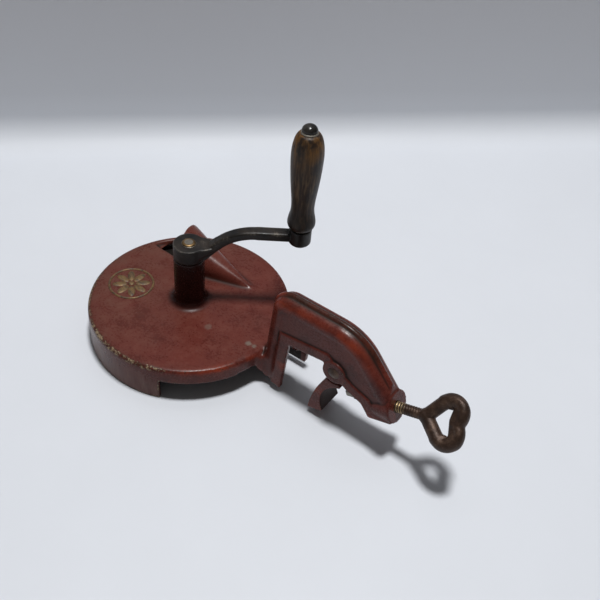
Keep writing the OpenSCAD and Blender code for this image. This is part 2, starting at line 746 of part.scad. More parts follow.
// A dome screwed over the end of the pin
module grip_cap() {
    dome_r = (pow(cap_d / 2, 2) + cap_h * cap_h) / (2 * cap_h);
    color(black_iron) at_grip() translate([0, 0, cap_z]) rotate_extrude() difference() {
        intersection() {
            translate([0, cap_h - dome_r]) circle(dome_r);
            square([cap_d / 2, cap_h]);
        }
        translate([-1, -1]) square([pin_d / 2 + run_clear + 1, cap_h / 2 + run_clear + 1]);
    }
}

module jaw_pin() {
    shank = cheek_w + 2 * run_clear;
    color(rusty) at_pivot() {
        translate([0, 0, -shank / 2]) cylinder(h = shank, d = jaw_pin_d);
        for (side = [0, 1]) mirror([0, 0, side]) translate([0, 0, shank / 2 - eps])
            cylinder(h = jaw_pin_head_h, d1 = jaw_pin_head_d, d2 = jaw_pin_head_d * 0.7);
    }
}

// The jaw's outline in its own plane: X along the frame, Y up, from the pivot
module jaw_outline() {
    foot = [-jaw_reach, -jaw_l];
    shoe = [-jaw_pin_d / 2 - 0.1, -jaw_pin_d / 2 - 3.3];
    mid = (foot + shoe) / 2;
    span = norm(shoe - foot);
    side = [(shoe - foot)[1], (foot - shoe)[0]] / span;
    difference() {
        intersection() {
            translate(mid + side * sqrt(shoe_r * shoe_r - span * span / 4)) circle(shoe_r, $fn = 256);
            polygon([[-big, foot[1]], foot, foot + [jaw_t, jaw_pin_d * 3 / 8], [jaw_pin_d * 5 / 4, -jaw_l / 2],
                [jaw_pin_d * 3 / 4, -cheek_d / 2], [0, -jaw_pin_d / 2], [-big, -jaw_pin_d / 2]]);
        }
        translate([foot[0] + jaw_t - 1.5 + hollow_r, -jaw_l * 0.67]) circle(hollow_r, $fn = 128);
    }
}

module clamp_jaw() {
    color(cast_red) at_pivot() difference() {
        union() {
            translate([0, 0, -jaw_w / 2]) linear_extrude(jaw_w) difference() {
                jaw_outline();
                circle(d = cheek_d + 1.6);
            }
            translate([0, 0, -neck_w / 2]) linear_extrude(neck_w) jaw_outline();
            translate([0, 0, -neck_w / 2]) cylinder(h = neck_w, d = cheek_d - 3);
        }
        translate([0, 0, -jaw_w]) cylinder(h = 2 * jaw_w, d = jaw_pin_d + 2 * run_clear);
    }
}

// One half of the heart: a leg and a lobe with a bead where they meet, cut on the heart's axis
module half_heart() {
    intersection() {
        union() {
            rotate([0, leg_angle, 0]) cylinder(h = leg_l, d = heart_rod_d);
            rotate([0, leg_angle, 0]) translate([0, 0, leg_l]) sphere(r = rod_r + heart_bead);
            translate([lobe_c, 0, lobe_a]) rotate([90, 0, 0]) rotate([0, 0, -leg_angle])
                rotate_extrude(angle = 180 + leg_angle) translate([lobe_r, 0]) circle(rod_r);
        }
        translate([0, -big / 2, -big / 2]) cube(big);
    }
}

// The weld that fills the heart's cusp and closes the lobes' eyes, a little past their middles
module heart_weld() {
    weld_r = rod_r - 2 * heart_bead;
    translate([0, 0, lobe_a + weld_r - heart_cusp]) rotate([0, 90, 0])
        cylinder(h = 2 * (lobe_c + rod_r), r = weld_r, center = true);
}

module clamp_screw() {
    color(rusty) at_screw() {
        translate([0, 0, point_l - screw_in]) cylinder(h = screw_in - point_l + screw_out, d = screw_d);
        translate([0, 0, screw_out]) {
            sphere(r = rod_r + 2 * heart_bead);
            half_heart();
            mirror([1, 0, 0]) half_heart();
            heart_weld();
        }
    }
}

module screw_point() {
    chamfer = point_d / 4;
    color(steel) at_screw() translate([0, 0, -screw_in]) {
        cylinder(h = chamfer, d1 = point_d - 2 * chamfer, d2 = point_d);
        translate([0, 0, chamfer - eps]) cylinder(h = point_l - chamfer + eps, d = point_d);
    }
}

housing();
clamp_frame();
drive_shaft();
thrust_washer();
knife_disc();
knife_1();
knife_2();
knife_3();
knife_screws();
disc_washer();
disc_nut();
crank_arm();
grip_pin();
grip_washer();
grip();
grip_top_washer();
grip_cap();
jaw_pin();
clamp_jaw();
clamp_screw();
screw_point();
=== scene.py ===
# Bean slicer: the cast body, crank, wooden grip and table clamp, dressed for the photograph's view
import json
import math

import bmesh
import bpy
import numpy as np
from mathutils import Matrix, Vector

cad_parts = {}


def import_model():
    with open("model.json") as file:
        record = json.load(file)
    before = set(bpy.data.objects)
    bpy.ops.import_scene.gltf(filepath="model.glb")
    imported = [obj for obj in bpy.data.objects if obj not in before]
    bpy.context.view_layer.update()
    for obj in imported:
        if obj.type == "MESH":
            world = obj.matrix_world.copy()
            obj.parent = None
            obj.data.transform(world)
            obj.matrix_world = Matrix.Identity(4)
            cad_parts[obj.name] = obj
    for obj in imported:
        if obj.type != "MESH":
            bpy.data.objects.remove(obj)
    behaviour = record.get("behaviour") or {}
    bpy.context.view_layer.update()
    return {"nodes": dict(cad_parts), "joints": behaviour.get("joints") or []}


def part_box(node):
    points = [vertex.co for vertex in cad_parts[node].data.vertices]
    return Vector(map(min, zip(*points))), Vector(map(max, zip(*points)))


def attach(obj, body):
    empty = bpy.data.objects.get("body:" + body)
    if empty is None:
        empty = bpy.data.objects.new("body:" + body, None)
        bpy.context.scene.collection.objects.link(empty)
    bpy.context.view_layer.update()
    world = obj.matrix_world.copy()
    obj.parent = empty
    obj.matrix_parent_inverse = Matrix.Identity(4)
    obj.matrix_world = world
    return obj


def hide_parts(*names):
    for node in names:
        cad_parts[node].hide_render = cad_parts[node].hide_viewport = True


mm = 0.001
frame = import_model()
scene = bpy.context.scene
joints = {joint["name"]: joint for joint in frame["joints"]}


def middle(node):
    low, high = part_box(node)
    return (low + high) / 2


shaftAt = middle("drive_shaft")
gripAt = middle("grip")
plateRise = 27 * mm  # from the foot of the arm to the plate's top
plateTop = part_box("clamp_frame")[0].z + plateRise
print("frame loaded, shaft at", [round(v / mm, 2) for v in shaftAt])


# Shader sockets that take part in Python expressions
class Wire:
    def __init__(self, finish, socket):
        self.finish = finish
        self.socket = socket

    def reckon(self, operation, first, second=0.0):
        return self.finish.node("ShaderNodeMath", {"operation": operation}, {0: first, 1: second})

    def __add__(self, other):
        return self.reckon("ADD", self, other)

    def __radd__(self, other):
        return self.reckon("ADD", other, self)

    def __sub__(self, other):
        return self.reckon("SUBTRACT", self, other)

    def __rsub__(self, other):
        return self.reckon("SUBTRACT", other, self)

    def __mul__(self, other):
        return self.reckon("MULTIPLY", self, other)

    def __rmul__(self, other):
        return self.reckon("MULTIPLY", other, self)

    def __pow__(self, other):
        return self.reckon("POWER", self, other)

    def size(self):
        return self.reckon("ABSOLUTE", self)

    # 0 at low, 1 at high, held between them
    def span(self, low, high):
        sockets = {"Value": self, "From Min": low, "From Max": high}
        return self.finish.node("ShaderNodeMapRange", {"clamp": True}, sockets)


# A material under construction
class Finish:
    def __init__(self, name):
        self.material = bpy.data.materials.new(name)
        self.material.use_nodes = True
        self.tree = self.material.node_tree
        self.shader = self.tree.nodes["Principled BSDF"]
        self.place = self.node("ShaderNodeTexCoord", out="Object")

    def feed(self, socket, value):
        if isinstance(value, Wire):
            self.tree.links.new(value.socket, socket)
        else:
            socket.default_value = value

    # Any node: its type, its settings, the values or links of its sockets, and the output that is wanted
    def node(self, kind, settings=None, sockets=None, out=0):
        made = self.tree.nodes.new(kind)
        for key, value in (settings or {}).items():
            if key == "stops":
                self.setStops(made.color_ramp, value)
            else:
                setattr(made, key, value)
        for key, value in (sockets or {}).items():
            self.feed(made.inputs[key], value)
        return Wire(self, made.outputs[out])

    def setStops(self, ramp, stops):
        while len(ramp.elements) < len(stops):
            ramp.elements.new(1.0)
        for element, (position, colour) in zip(ramp.elements, stops):
            element.position = position
            element.color = (*colour, 1.0)

    def noise(self, scale, detail=4.0, rough=0.55, stretch=None):
        where = self.place
        if stretch:
            where = self.node("ShaderNodeMapping", {}, {"Vector": self.place, "Scale": stretch})
        sockets = {"Vector": where, "Scale": scale, "Detail": detail, "Roughness": rough}
        return self.node("ShaderNodeTexNoise", {}, sockets)

    def attribute(self, name):
        return self.node("ShaderNodeAttribute", {"attribute_name": name}, out="Fac")

    def axes(self, vector):
        return [self.node("ShaderNodeSeparateXYZ", {}, {0: vector}, out) for out in range(3)]

    def ramp(self, factor, stops):
        return self.node("ShaderNodeValToRGB", {"stops": stops}, {"Fac": factor})

    def mix(self, factor, first, second):
        ends = {0: factor, 6: self.opaque(first), 7: self.opaque(second)}
        return self.node("ShaderNodeMix", {"data_type": "RGBA"}, ends, 2)

    def opaque(self, colour):
        return colour if isinstance(colour, Wire) else (*colour, 1.0)

    def bump(self, height, strength, depth):
        sockets = {"Height": height, "Strength": strength, "Distance": depth}
        self.set("Normal", self.node("ShaderNodeBump", {}, sockets))

    def set(self, name, value):
        self.feed(self.shader.inputs[name], value)


# Old oxide-red paint on cast iron: brighter where hands polish it, with a painted highlight on the arm's
# shoulder, chipped on edges, with painted shade in corners and hollows and on the tube
paintLook = {
    "deep": (0.040, 0.009, 0.007),
    "body": (0.100, 0.021, 0.015),
    "fresh": (0.150, 0.031, 0.020),
    "faded": (0.095, 0.038, 0.026),
    # rubbed orange paint with a painted highlight, for the arm's shoulder and lip
    "orange": (0.27, 0.034, 0.008),
    "dust": (0.20, 0.135, 0.105),
    # painted shade: near black for creases, hollows, the seat's far leg and the jaw's front
    "grime": (0.010, 0.006, 0.004),
    "bare": (0.25, 0.180, 0.110),
    "oil": (0.016, 0.009, 0.006),
    # painted shade: the feed tube's paint is made near black
    "tube": (0.007, 0.0008, 0.0006),
    "rubbed": (0.17, 0.14, 0.115),
    "cloudScale": 34.0,
    "blotchScale": 110.0,
    "gritScale": 620.0,
    "stainScale": 60.0,
    "smearScale": 150.0,
    "flakeScale": 420.0,
    "rimRadius": 79.0 * mm,
    "chipTurn": 245.0,  # middle of the chipped stretch of the rim, in degrees
    "shine": 0.20,
    "marks": [  # rubbed spots on the plate: east, north and radius in mm, and strength
        (32.3, -14.8, 3.6, 0.34),
        (67.5, -8.6, 3.4, 0.75),
        (72.0, -8.2, 2.6, 0.7),
    ],
}

# Where a mask of the paint begins and where it is full, in mm from the shaft or above the floor
paintZones = {
    "fadedEast": (-70, 30),
    "armAway": (66, 82),
    "shoulderUp": (62, 82),  # the shoulder's paint is rubbed bright above this, with a painted highlight
    "lipUp": (24, 29),
    "lipTop": (33, 36),
    "lipEast": (40, 66),
    "stainUp": (36, 44),
    "beadHalf": (3.2, 5.2),
    "beadEast": (88, 94),
    "beadEnd": (168, 182),
    "beadUp": (40, 50),
    "tubeAway": (13.5, 17),
    "markTop": (34, 40),
    "skirtAway": (77, 79),
    "skirtTop": (12, 25),
    "skirtEast": (30, 60),
    "seatEast": (97, 101),
    "legEast": (78, 80),
    "legEnd": (95.5, 96.5),
    "legTop": (24, 27),
    "legDepth": (17, 19),  # the far leg of the seat is painted black as shade beyond this
    "jawEast": (126, 130),
    "jawTop": (30, 36),
    "handledAway": (70, 78),
    "rimAway": (76, 78),
}


def oxidePaint(name, look, zones):
    f = Finish(name)

    def past(distance, zone):
        return distance.span(*[limit * mm for limit in zones[zone]])

    def before(distance, zone):
        return 1.0 - past(distance, zone)

    x, y, z = f.axes(f.place)
    east = x - shaftAt.x
    north = y - shaftAt.y
    away = (east * east + north * north) ** 0.5
    cloud = f.noise(look["cloudScale"], 6.0, 0.62).span(0.32, 0.68)
    blotch = f.noise(look["blotchScale"], 4.0, 0.6).span(0.33, 0.67)
    grit = f.noise(look["gritScale"], 3.0, 0.6).span(0.3, 0.7)
    smears = f.noise(look["smearScale"], 5.0, 0.65, (1, 1, 0.22)).span(0.36, 0.7)
    flake = f.noise(look["flakeScale"], 5.0, 0.75).span(0.36, 0.66)
    edge = f.attribute("edge")
    swell = f.attribute("swell")
    facing = f.axes(f.node("ShaderNodeNewGeometry", out="Normal"))
    upward = facing[2].span(0.4, 0.95)

    # wear of the paint, with a painted highlight on the arm's shoulder and lip
    faded = before(east, "fadedEast") * (0.4 + 0.6 * blotch)
    onArm = past(away, "armAway")
    lip = past(z, "lipUp") * before(z, "lipTop") * past(east, "lipEast")
    rubbedAndHighlit = onArm * (past(z, "shoulderUp") + lip) * swell.span(0.004, 0.026)
    rubbedAndHighlit = rubbedAndHighlit * (0.35 + 0.65 * blotch) * cloud.span(0.15, 0.6)
    handled = past(away, "handledAway") * (1.0 - onArm * 0.6) * upward * (0.25 + 0.75 * blotch)

    # dirt on it, and painted shade on the tube, in creases and hollows, on the seat's far leg and the
    # jaw's front
    stains = f.noise(look["stainScale"], 5.0, 0.6).span(0.48, 0.70) * onArm * past(z, "stainUp")
    bead = before(north.size(), "beadHalf") * past(z, "beadUp")
    bead = bead * past(east, "beadEast") * before(east, "beadEnd")
    onTube = before(away, "tubeAway")
    dusty = upward * (1.0 - onTube) * blotch * grit
    skirt = past(away, "skirtAway") * before(z, "skirtTop") * before(east, "skirtEast")
    # painted shade in creases: concave edges darkened to near black
    corner = (-1.0 * edge).span(0.008, 0.038)
    # painted shade in the hollows of the seat and jaw
    hollow = (-1.0 * swell).span(0.004, 0.026) * past(east, "seatEast")
    # painted shade in broad hollows of the body
    nookShade = (-1.0 * swell).span(0.003, 0.022) * (0.5 + 0.5 * blotch)
    # painted shade: the seat's far leg and the jaw's front face are made near black
    farLegShade = past(east, "legEast") * before(east, "legEnd")
    farLegShade = farLegShade * before(z, "legTop") * past(north, "legDepth")
    jawFrontShade = facing[0].span(0.45, 0.8) * past(east, "jawEast") * before(z, "jawTop")
    soot = farLegShade + jawFrontShade * 0.9

    # chips on the rim and on other edges
    chipDirection = math.radians(look["chipTurn"])
    toChips = (east * math.cos(chipDirection) + north * math.sin(chipDirection)) * (1 / look["rimRadius"])
    worn = past(away, "rimAway") * toChips.span(0.30, 0.80)
    chance = edge * 3.2 + (blotch - 0.5) * 0.45 + (flake - 0.5) * 0.8 - onTube + worn * 0.50
    chips = chance.span(0.60, 0.78) * edge.span(0.010, 0.026)
    scuffed = chance.span(0.30, 0.50) * edge.span(0.014, 0.028)

    layers = [
        (faded, 0.7, "faded"),
        (rubbedAndHighlit, 0.9, "orange"),
        (stains, 0.75, "deep"),
        (bead, 0.55 + 0.4 * blotch, "oil"),
        # painted shade: the tube is painted near black
        (onTube, 0.85 + 0.15 * blotch, "tube"),
        (dusty, 0.16, "dust"),
    ]
    for markEast, markNorth, radius, strength in look["marks"]:
        gapEast = east - markEast * mm
        gapNorth = north - markNorth * mm
        gap = (gapEast * gapEast + gapNorth * gapNorth) ** 0.5 + (blotch - 0.5) * 2.4 * mm
        mark = (1.0 - gap.span(0.45 * radius * mm, radius * mm)) * before(z, "markTop")
        layers.append((mark, strength, "rubbed"))
    layers += [
        (skirt * smears, 0.62, "dust"),
        (skirt * (1.0 - smears), 0.4, "deep"),
        # painted shade in broad hollows, and the handled rim darkened
        (nookShade + handled * 0.8, 0.55, "deep"),
        # painted shade in creases
        (corner, 0.7 + 0.3 * grit, "grime"),
        # painted shade in the seat's and jaw's hollows
        (hollow, 0.8, "grime"),
        # painted shade on the far leg and the jaw's front
        (soot, 0.92, "grime"),
        (scuffed, 0.7, "oil"),
        (chips, 1.0, "bare"),
    ]
    shade = 0.14 + cloud * 0.28 + blotch * 0.20 + grit * 0.20
    colour = f.ramp(shade, [(0.05, look["deep"]), (0.45, look["body"]), (0.95, look["fresh"])])
    for mask, strength, tint in layers:
        colour = f.mix(mask * strength, colour, look[tint])

    f.set("Base Color", colour)
    gloss = 0.20 + cloud * 0.08 + grit * 0.06
    dull = (corner + hollow + soot) * 0.3 + chips * 0.15 + dusty * 0.12 + skirt * smears * 0.2
    f.set("Roughness", gloss + dull)
    f.set("Specular IOR Level", look["shine"])
    f.bump(grit * 0.35 + blotch * 0.4 + cloud * 0.5 - chips * 0.8, 0.22, 0.35 * mm)
    return f.material


# Blackened iron, worn grey on its edges, with a breath of rust
ironLook = {
    "black": (0.005, 0.005, 0.005),
    "brown": (0.028, 0.019, 0.013),
    "grey": (0.26, 0.235, 0.20),
    "rough": 0.30,
}
# The cap's iron: smoother, with its brown made lighter as a painted sheen
polishedSheenLook = {**ironLook, "brown": (0.085, 0.075, 0.065), "rough": 0.12}


def blackIron(name, look):
    f = Finish(name)
    cloud = f.noise(70.0, 5.0, 0.6).span(0.32, 0.68)
    grit = f.noise(900.0, 3.0, 0.6).span(0.3, 0.7)
    edge = f.attribute("edge")
    rub = (edge * 3.6 + (cloud - 0.5) * 0.5 + (grit - 0.5) * 0.35).span(0.2, 0.62)
    colour = f.mix(cloud * 0.7, look["black"], look["brown"])
    f.set("Base Color", f.mix(rub * 0.6, colour, look["grey"]))
    f.set("Metallic", rub * 0.8)
    f.set("Specular IOR Level", 0.32)
    f.set("Roughness", look["rough"] + grit * 0.14 + cloud * 0.1)
    f.bump(grit * 0.5 + cloud, 0.25, 0.3 * mm)
    return f.material


# Dark turned wood: black at its foot, amber under the cap, with grain along its length
woodLook = {
    "soot": (0.007, 0.005, 0.004),
    "brown": (0.040, 0.022, 0.012),
    "light": (0.150, 0.095, 0.052),
    "amber": (0.120, 0.050, 0.005),
}


def darkWood(name, look):
    f = Finish(name)
    low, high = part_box("grip")
    z = f.axes(f.place)[2]
    along = (z - low.z) * (1 / (high.z - low.z))
    grain = f.noise(420.0, 6.0, 0.65, (1, 1, 0.075)).span(0.3, 0.7)
    fibre = f.noise(1500.0, 3.0, 0.6, (1, 1, 0.04)).span(0.3, 0.7)
    stain = f.noise(110.0, 4.0, 0.6, (1, 1, 0.6)).span(0.36, 0.64)
    stops = [(0.1, look["soot"]), (0.5, look["brown"]), (0.95, look["light"])]
    colour = f.ramp(grain * 0.75 + fibre * 0.25, stops)
    top = along.span(0.62, 0.88) * stain.span(0.1, 0.75)
    colour = f.mix(top * grain.span(0.1, 0.7) * 0.85, colour, look["amber"])
    black = (1.0 - along.span(0.10, 0.42)) * (0.6 + 0.4 * stain)
    colour = f.mix(black * 0.8, colour, look["soot"])
    dark = (1.0 - stain.span(0.1, 0.5)) * (0.4 + 0.6 * fibre)
    f.set("Base Color", f.mix(dark * 0.75, colour, look["soot"]))
    f.set("Roughness", 0.34 + fibre * 0.12 + stain * 0.08)
    f.set("Specular IOR Level", 0.26)
    f.bump(grain + fibre * 0.6, 0.3, 0.3 * mm)
    return f.material


# Brown rusted steel, with brassy crests where the thread is rubbed bright, and painted shade in its
# creases
rustLook = {
    "dark": (0.018, 0.010, 0.006),
    "brown": (0.046, 0.024, 0.015),
    "tan": (0.120, 0.072, 0.047),
    "brass": (0.52, 0.39, 0.21),
}


def rustySteel(name, look):
    f = Finish(name)
    cloud = f.noise(120.0, 5.0, 0.65).span(0.32, 0.68)
    grit = f.noise(1100.0, 4.0, 0.65).span(0.3, 0.7)
    crest = f.attribute("crest")
    edge = f.attribute("edge")
    stops = [(0.0, look["dark"]), (0.5, look["brown"]), (1.0, look["tan"])]
    colour = f.ramp(cloud * 0.72 + grit * 0.28, stops)
    bright = (crest + edge.span(0.10, 0.3) * 0.3 + (cloud - 0.5) * 0.5).span(0.35, 0.85)
    # painted shade in the creases of the thread and heart
    corner = (-1.0 * edge).span(0.03, 0.12)
    colour = f.mix(bright * 0.85, colour, look["brass"])
    f.set("Base Color", f.mix(corner * 0.8, colour, look["dark"]))
    f.set("Metallic", 0.45 + bright * 0.45)
    f.set("Roughness", 0.36 + grit * 0.16)
    f.bump(grit + cloud * 0.5, 0.35, 0.25 * mm)
    return f.material


# Dull steel, ground steel and browned steel
steelLook = {
    "worn": {
        "low": (0.12, 0.105, 0.085),
        "high": (0.40, 0.37, 0.32),
        "rough": 0.36,
        "stretch": None,
    },
    "ground": {
        "low": (0.38, 0.37, 0.36),
        "high": (0.62, 0.61, 0.59),
        "rough": 0.24,
        "stretch": (1, 0.06, 1),
    },
    "tarnished": {
        "low": (0.045, 0.028, 0.016),
        "high": (0.34, 0.22, 0.10),
        "rough": 0.34,
        "stretch": None,
    },
}


def bareSteel(name, look):
    f = Finish(name)
    cloud = f.noise(90.0, 5.0, 0.6).span(0.32, 0.68)
    scratch = f.noise(1400.0, 3.0, 0.6, look["stretch"]).span(0.3, 0.7)
    f.set("Base Color", f.mix(cloud * 0.6 + scratch * 0.4, look["low"], look["high"]))
    f.set("Metallic", 1.0)
    f.set("Roughness", look["rough"] + scratch * 0.12 + cloud * 0.08)
    f.bump(scratch, 0.15, 0.1 * mm)
    return f.material


# Rubbed gilding on the rosette
giltLook = {"gold": (0.165, 0.098, 0.036), "dark": (0.030, 0.016, 0.009)}


def wornGilt(name, look):
    f = Finish(name)
    cloud = f.noise(260.0, 5.0, 0.65).span(0.34, 0.66)
    grit = f.noise(1300.0, 3.0, 0.6).span(0.3, 0.7)
    keep = (cloud * 0.7 + grit * 0.5).span(0.25, 0.75)
    f.set("Base Color", f.mix(keep, look["dark"], look["gold"]))
    f.set("Metallic", keep * 0.35)
    f.set("Roughness", 0.42 + grit * 0.15)
    f.bump(grit + cloud, 0.3, 0.2 * mm)
    return f.material


paint = oxidePaint("oxidePaint", paintLook, paintZones)
iron = blackIron("blackIron", ironLook)
polishedSheenIron = blackIron("polishedSheenIron", polishedSheenLook)
wood = darkWood("darkWood", woodLook)
rust = rustySteel("rustySteel", rustLook)
wornSteel = bareSteel("wornSteel", steelLook["worn"])
groundSteel = bareSteel("groundSteel", steelLook["ground"])
tarnishedSteel = bareSteel("tarnishedSteel", steelLook["tarnished"])
gilt = wornGilt("wornGilt", giltLook)
print("finishes made")


# A new object from a mesh, with sharp edges where its faces meet at more than the crisp angle
def toObject(name, bm, crisp=None):
    mesh = bpy.data.meshes.new(name)
    for face in bm.faces:
        face.smooth = True
    bm.to_mesh(mesh)
    bm.free()
    if crisp:
        mesh.set_sharp_from_angle(angle=crisp)
    made = bpy.data.objects.new(name, mesh)
    scene.collection.objects.link(made)
    return made


def coat(piece, material):
    piece.data.materials.clear()
    piece.data.materials.append(material)


def dress(piece, body, slotName, material, *nodes):
    coat(piece, material)
    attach(piece, body)
    if nodes:
        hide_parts(*nodes)


# A share between 0 and 1
def share(value):
    return min(1.0, max(0.0, value))


def mergedCopy(*nodes):
    bm = bmesh.new()
    for node in nodes:
        bm.from_mesh(frame["nodes"][node].data)
    bmesh.ops.remove_doubles(bm, verts=bm.verts, dist=0.002 * mm)
    return bm


def settle(piece):
    graph = bpy.context.evaluated_depsgraph_get()
    mesh = bpy.data.meshes.new_from_object(piece.evaluated_get(graph))
    piece.modifiers.clear()
    piece.data = mesh


# Stores how far each point stands out: "edge" from its neighbours, "swell" from a wider round
def markCorners(piece, edgeRounds, swellRounds):
    mesh = piece.data
    count = len(mesh.vertices)
    points = np.empty(count * 3)
    normals = np.empty(count * 3)
    ends = np.empty(len(mesh.edges) * 2, int)
    mesh.vertices.foreach_get("co", points)
    mesh.vertex_normals.foreach_get("vector", normals)
    mesh.edges.foreach_get("vertices", ends)
    points = points.reshape(-1, 3)
    normals = normals.reshape(-1, 3)
    near, far = ends.reshape(-1, 2).T
    degree = np.bincount(near, minlength=count) + np.bincount(far, minlength=count)
    degree = np.maximum(degree, 1)

    def around(values):
        total = np.bincount(near, values[far], count) + np.bincount(far, values[near], count)
        return total / degree

    neighbours = np.stack([around(points[:, axis]) for axis in range(3)], 1)
    step = np.linalg.norm(points[near] - points[far], axis=1).mean()
    bend = ((points - neighbours) * normals).sum(1) / step
    for name, rounds in (("edge", edgeRounds), ("swell", swellRounds)):
        value = bend.copy()
        for turn in range(rounds):
            value = (value + around(value)) / 2
        stored = mesh.attributes.new(name, "FLOAT", "POINT")
        stored.data.foreach_set("value", value.astype(np.float32))


# Melts a solid into fine grains and smooths it as if poured, more so in the soft places of its look
def pour(piece, look):
    melt = piece.modifiers.new("melt", "REMESH")
    melt.mode = "VOXEL"
    melt.voxel_size = look["grain"]
    settle(piece)
    bm = bmesh.new()
    bm.from_mesh(piece.data)
    smoothing = [(bm.verts[:], look["rounds"])]
    for low, high, rounds in look.get("soft", []):
        inside = [point for point in bm.verts if within(point.co, low, high)]
        smoothing.append((inside, rounds))
    for points, rounds in smoothing:
        for turn in range(rounds):
            bmesh.ops.smooth_vert(bm, verts=points, factor=0.5, use_axis_x=True, use_axis_y=True,
                                  use_axis_z=True)
    for face in bm.faces:
        face.smooth = True
    bm.to_mesh(piece.data)
    bm.free()
    markCorners(piece, look["edgeRounds"], look["swellRounds"])
    if look["keep"] < 1:
        thin = piece.modifiers.new("thin", "DECIMATE")
        thin.ratio = look["keep"]
        settle(piece)


# Whether a point lies in a box that is measured from the shaft at floor level
def within(point, low, high):
    east = point.x - shaftAt.x
    return low[0] < east < high[0] and low[1] < point.y < high[1] and low[2] < point.z < high[2]


# A cast piece from its solids, with a hole plugged if its look says so
def castFrom(name, look, *nodes):
    bm = mergedCopy(*nodes)
    if "plug" in look:
        low, high = [Vector(corner) + Vector((shaftAt.x, 0, 0)) for corner in look["plug"]]
        place = Matrix.Translation((low + high) / 2) @ Matrix.Diagonal((*(high - low), 1))
        bmesh.ops.create_cube(bm, size=1, matrix=place)
    piece = toObject(name, bm)
    pour(piece, look)
    return piece


# A machined piece: its solid with the sharp edges broken. Angles are in radians
edgeLook = {"flat": 0.02, "sharp": 0.6, "crisp": 0.5}


def brokenEdges(name, node, width, look=edgeLook):
    bm = mergedCopy(node)
    bmesh.ops.dissolve_limit(bm, angle_limit=look["flat"], verts=bm.verts, edges=bm.edges)
    sharp = [edge for edge in bm.edges if edge.is_manifold and edge.calc_face_angle() > look["sharp"]]
    bmesh.ops.bevel(bm, geom=sharp, offset=width, offset_type="OFFSET", affect="EDGES", segments=2,
                    profile=0.5, material=-1, clamp_overlap=True)
    return toObject(name, bm, look["crisp"])


# A turned piece: a profile of (radius, height) points spun round an upright axis
def turned(bm, profile, centre, steps=64, closed=False):
    points = [bm.verts.new((centre.x + radius, centre.y, height)) for radius, height in profile]
    pairs = list(zip(points, points[1:]))
    if closed:
        pairs.append((points[-1], points[0]))
    edges = [bm.edges.new(pair) for pair in pairs]
    bmesh.ops.spin(bm, geom=points + edges, cent=centre, axis=(0, 0, 1), angle=math.tau, steps=steps,
                   use_merge=True, use_duplicate=False)
    bmesh.ops.remove_doubles(bm, verts=bm.verts, dist=0.001 * mm)
    bmesh.ops.recalc_face_normals(bm, faces=bm.faces)


# A smooth curve through a few given points
def flowing(points, steps):
    curve = []
    for i in range(len(points) - 1):
        before = Vector(points[max(i - 1, 0)])
        start = Vector(points[i])
        end = Vector(points[i + 1])
        after = Vector(points[min(i + 2, len(points) - 1)])
        for k in range(steps):
            t = k / steps
            bow = 2 * before - 5 * start + 4 * end - after
            twist = 3 * start - before - 3 * end + after
            curve.append(0.5 * (2 * start + t * (end - before) + t * t * bow + t ** 3 * twist))
    return curve + [Vector(points[-1])]


# The cast body: housing, feed hood and clamp arm in one pour
castLook = {
    "grain": 0.62 * mm,
    "rounds": 5,
    "edgeRounds": 4,
    "swellRounds": 80,
    "keep": 0.30,
    # closes the end of the feed slot, which shows beside the hood in the solids
    "plug": ((-11 * mm, 30 * mm, 28.2 * mm), (6.6 * mm, 51.4 * mm, 31.4 * mm)),
    "soft": [
        ((-85 * mm, -85 * mm, 25 * mm), (64 * mm, 85 * mm, 36 * mm), 14),  # rim and foot of the hood
        ((-50 * mm, 14 * mm, 30.5 * mm), (62 * mm, 72 * mm, 80 * mm), 40),  # feed hood
        ((62 * mm, -30 * mm, 10 * mm), (94 * mm, 30 * mm, 80 * mm), 40),  # root of the arm
    ],
}
body = castFrom("castBody", castLook, "housing", "clamp_frame")
dress(body, "casting", "oxide_red_paint", paint, "housing", "clamp_frame")
print("cast body", len(body.data.polygons), "faces")

jawLook = {"grain": 0.42 * mm, "rounds": 6, "edgeRounds": 4, "swellRounds": 60, "keep": 1}
jaw = castFrom("clampJaw", jawLook, "clamp_jaw")
dress(jaw, "jaw", "oxide_red_paint", paint, "clamp_jaw")

# The forged crank
crankLook = {"grain": 0.40 * mm, "rounds": 9, "edgeRounds": 4, "swellRounds": 40, "keep": 1}
crank = castFrom("forgedCrank", crankLook, "crank_arm")
dress(crank, "crank", "black_iron", iron, "crank_arm")
print("crank", len(crank.data.polygons), "faces")

# The peened end of the shaft in the crank's hub: a low dome with a struck hollow
peenLook = {
    "radius": 5.4 * mm,
    "rise": 1.2 * mm,
    "hollow": 2.6 * mm,
    "dip": 0.5 * mm,
    "crown": 0.05 * mm,
    "sunk": 0.4 * mm,
    "crisp": 0.9,
}


def peenedEnd(look):
    radius = look["radius"]
    hollow = look["hollow"]
    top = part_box("drive_shaft")[1].z
    foot = top - look["rise"]
    profile = [
        (0, top - look["dip"]),
        (hollow, top - look["dip"] * 0.8),
        (hollow * 1.25, top),
        (radius * 0.72, top + look["crown"]),
        (radius * 0.93, top - look["rise"] * 0.4),
        (radius, foot),
        (radius, foot - look["sunk"]),
        (0, foot - look["sunk"]),
    ]
    bm = bmesh.new()
    turned(bm, profile, shaftAt)
    return toObject("peenedEnd", bm, look["crisp"])


dress(peenedEnd(peenLook), "crank", "worn_steel", tarnishedSteel)

